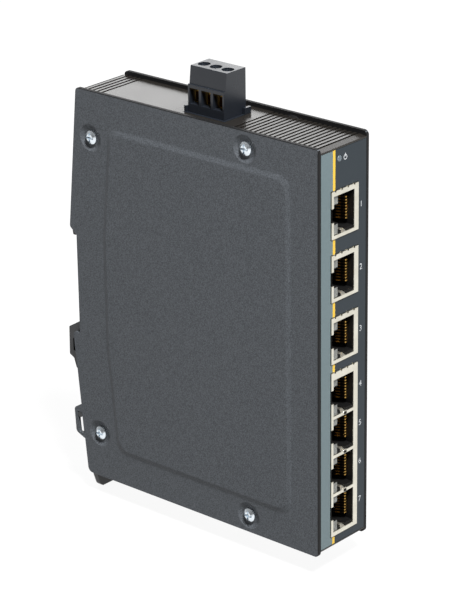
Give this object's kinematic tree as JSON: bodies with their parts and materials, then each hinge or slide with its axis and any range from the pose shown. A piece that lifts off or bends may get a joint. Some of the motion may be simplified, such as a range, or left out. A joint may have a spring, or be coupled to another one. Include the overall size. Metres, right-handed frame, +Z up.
{
  "type": "din rail ethernet switch",
  "caption": "Slim upright switch box with a column of modular sockets on its front edge, a pluggable power terminal on top and a sprung clip for a 35 mm rail behind.",
  "frame": {"origin": "middle of the seat for the 35 mm rail, halfway across the width and on the plane that lies against the rail's front", "axes": "-Y out of the front face with the sockets, +Y to the rail, +Z up, +X to the right as seen from the front"},
  "size_m": [0.0264, 0.1136, 0.1636],
  "materials": {
    "cover_paint": "fine-textured dark grey powder coat",
    "frame_paint": "satin dark grey coat",
    "zinc_steel": "bright zinc plate",
    "front_paint": "satin dark grey coat",
    "legend_foil": "printed polyester foil, grey-green with a yellow line",
    "shield_nickel": "satin nickel plate",
    "socket_black": "moulded black nylon",
    "contact_gold": "gold-plated bronze spring",
    "window_clear": "clear moulded light guide",
    "board_green": "green solder resist",
    "chip_black": "moulded epoxy",
    "sink_aluminium": "plain aluminium",
    "led_white": "clear epoxy",
    "header_black": "moulded black nylon",
    "plug_plastic": "moulded black nylon",
    "plug_brass": "plain brass",
    "terminal_steel": "zinc plate",
    "clip_black": "moulded black nylon"
  },
  "bodies": {
    "switch": {"side_cover_left": "cover_paint", "side_cover_right": "cover_paint", "housing_frame": "frame_paint", "cover_screws": "zinc_steel", "board_screws": "zinc_steel", "clock_crystal": "zinc_steel", "header_pins": "zinc_steel", "clip_spring": "zinc_steel", "front_plate": "front_paint", "front_foil": "legend_foil", "port_shield_1": "shield_nickel", "port_shield_2": "shield_nickel", "port_shield_3": "shield_nickel", "gang_shield": "shield_nickel", "port_insert_1": "socket_black", "port_insert_2": "socket_black", "port_insert_3": "socket_black", "gang_insert": "socket_black", "port_contacts_1": "contact_gold", "port_contacts_2": "contact_gold", "port_contacts_3": "contact_gold", "port_contacts_4": "contact_gold", "port_contacts_5": "contact_gold", "port_contacts_6": "contact_gold", "port_contacts_7": "contact_gold", "port_lenses_1": "window_clear", "port_lenses_2": "window_clear", "port_lenses_3": "window_clear", "port_lenses_4": "window_clear", "port_lenses_5": "window_clear", "port_lenses_6": "window_clear", "port_lenses_7": "window_clear", "light_pipe": "window_clear", "main_board": "board_green", "switch_chip": "chip_black", "magnetics": "chip_black", "power_inductor": "chip_black", "heat_sink": "sink_aluminium", "supply_capacitors": "sink_aluminium", "status_led": "led_white", "power_header": "header_black"},
    "rail_clip": {"rail_clip": "clip_black"},
    "power_plug": {"plug_body": "plug_plastic", "plug_contacts": "plug_brass"},
    "screw_1": {"terminal_screw_1": "terminal_steel"},
    "cage_1": {"terminal_cage_1": "terminal_steel"},
    "screw_2": {"terminal_screw_2": "terminal_steel"},
    "cage_2": {"terminal_cage_2": "terminal_steel"},
    "screw_3": {"terminal_screw_3": "terminal_steel"},
    "cage_3": {"terminal_cage_3": "terminal_steel"}
  },
  "joints": [
    {"name": "rail_clip_slide", "type": "slide", "parent": "switch", "child": "rail_clip", "axis": [0, -0.0975, -0.9952], "range_m": [0, 0.0046], "stiffness_N_per_m": 1200, "springref_m": -0.003, "deforming": ["clip_spring"]},
    {"name": "power_plug_pull", "type": "slide", "parent": "switch", "child": "power_plug", "axis": [0, 0, 1], "range_m": [0, 0.012]},
    {"name": "cage_1_lift", "type": "slide", "parent": "power_plug", "child": "cage_1", "axis": [0, 0, 1], "range_m": [0, 0.003]},
    {"name": "screw_1_turn", "type": "hinge", "parent": "power_plug", "child": "screw_1", "pos_m": [-0.0004, -0.05903, 0.08], "axis": [0, 0, -1], "range_deg": [0, 2160.1]},
    {"name": "cage_2_lift", "type": "slide", "parent": "power_plug", "child": "cage_2", "axis": [0, 0, 1], "range_m": [0, 0.003]},
    {"name": "screw_2_turn", "type": "hinge", "parent": "power_plug", "child": "screw_2", "pos_m": [-0.0004, -0.05395, 0.08], "axis": [0, 0, -1], "range_deg": [0, 2160.1]},
    {"name": "cage_3_lift", "type": "slide", "parent": "power_plug", "child": "cage_3", "axis": [0, 0, 1], "range_m": [0, 0.003]},
    {"name": "screw_3_turn", "type": "hinge", "parent": "power_plug", "child": "screw_3", "pos_m": [-0.0004, -0.04887, 0.08], "axis": [0, 0, -1], "range_deg": [0, 2160.1]}
  ],
  "couplings": [
    {"joint": "screw_1_turn", "follows": "cage_1_lift", "rad_per_m": 12566},
    {"joint": "screw_2_turn", "follows": "cage_2_lift", "rad_per_m": 12566},
    {"joint": "screw_3_turn", "follows": "cage_3_lift", "rad_per_m": 12566}
  ]
}
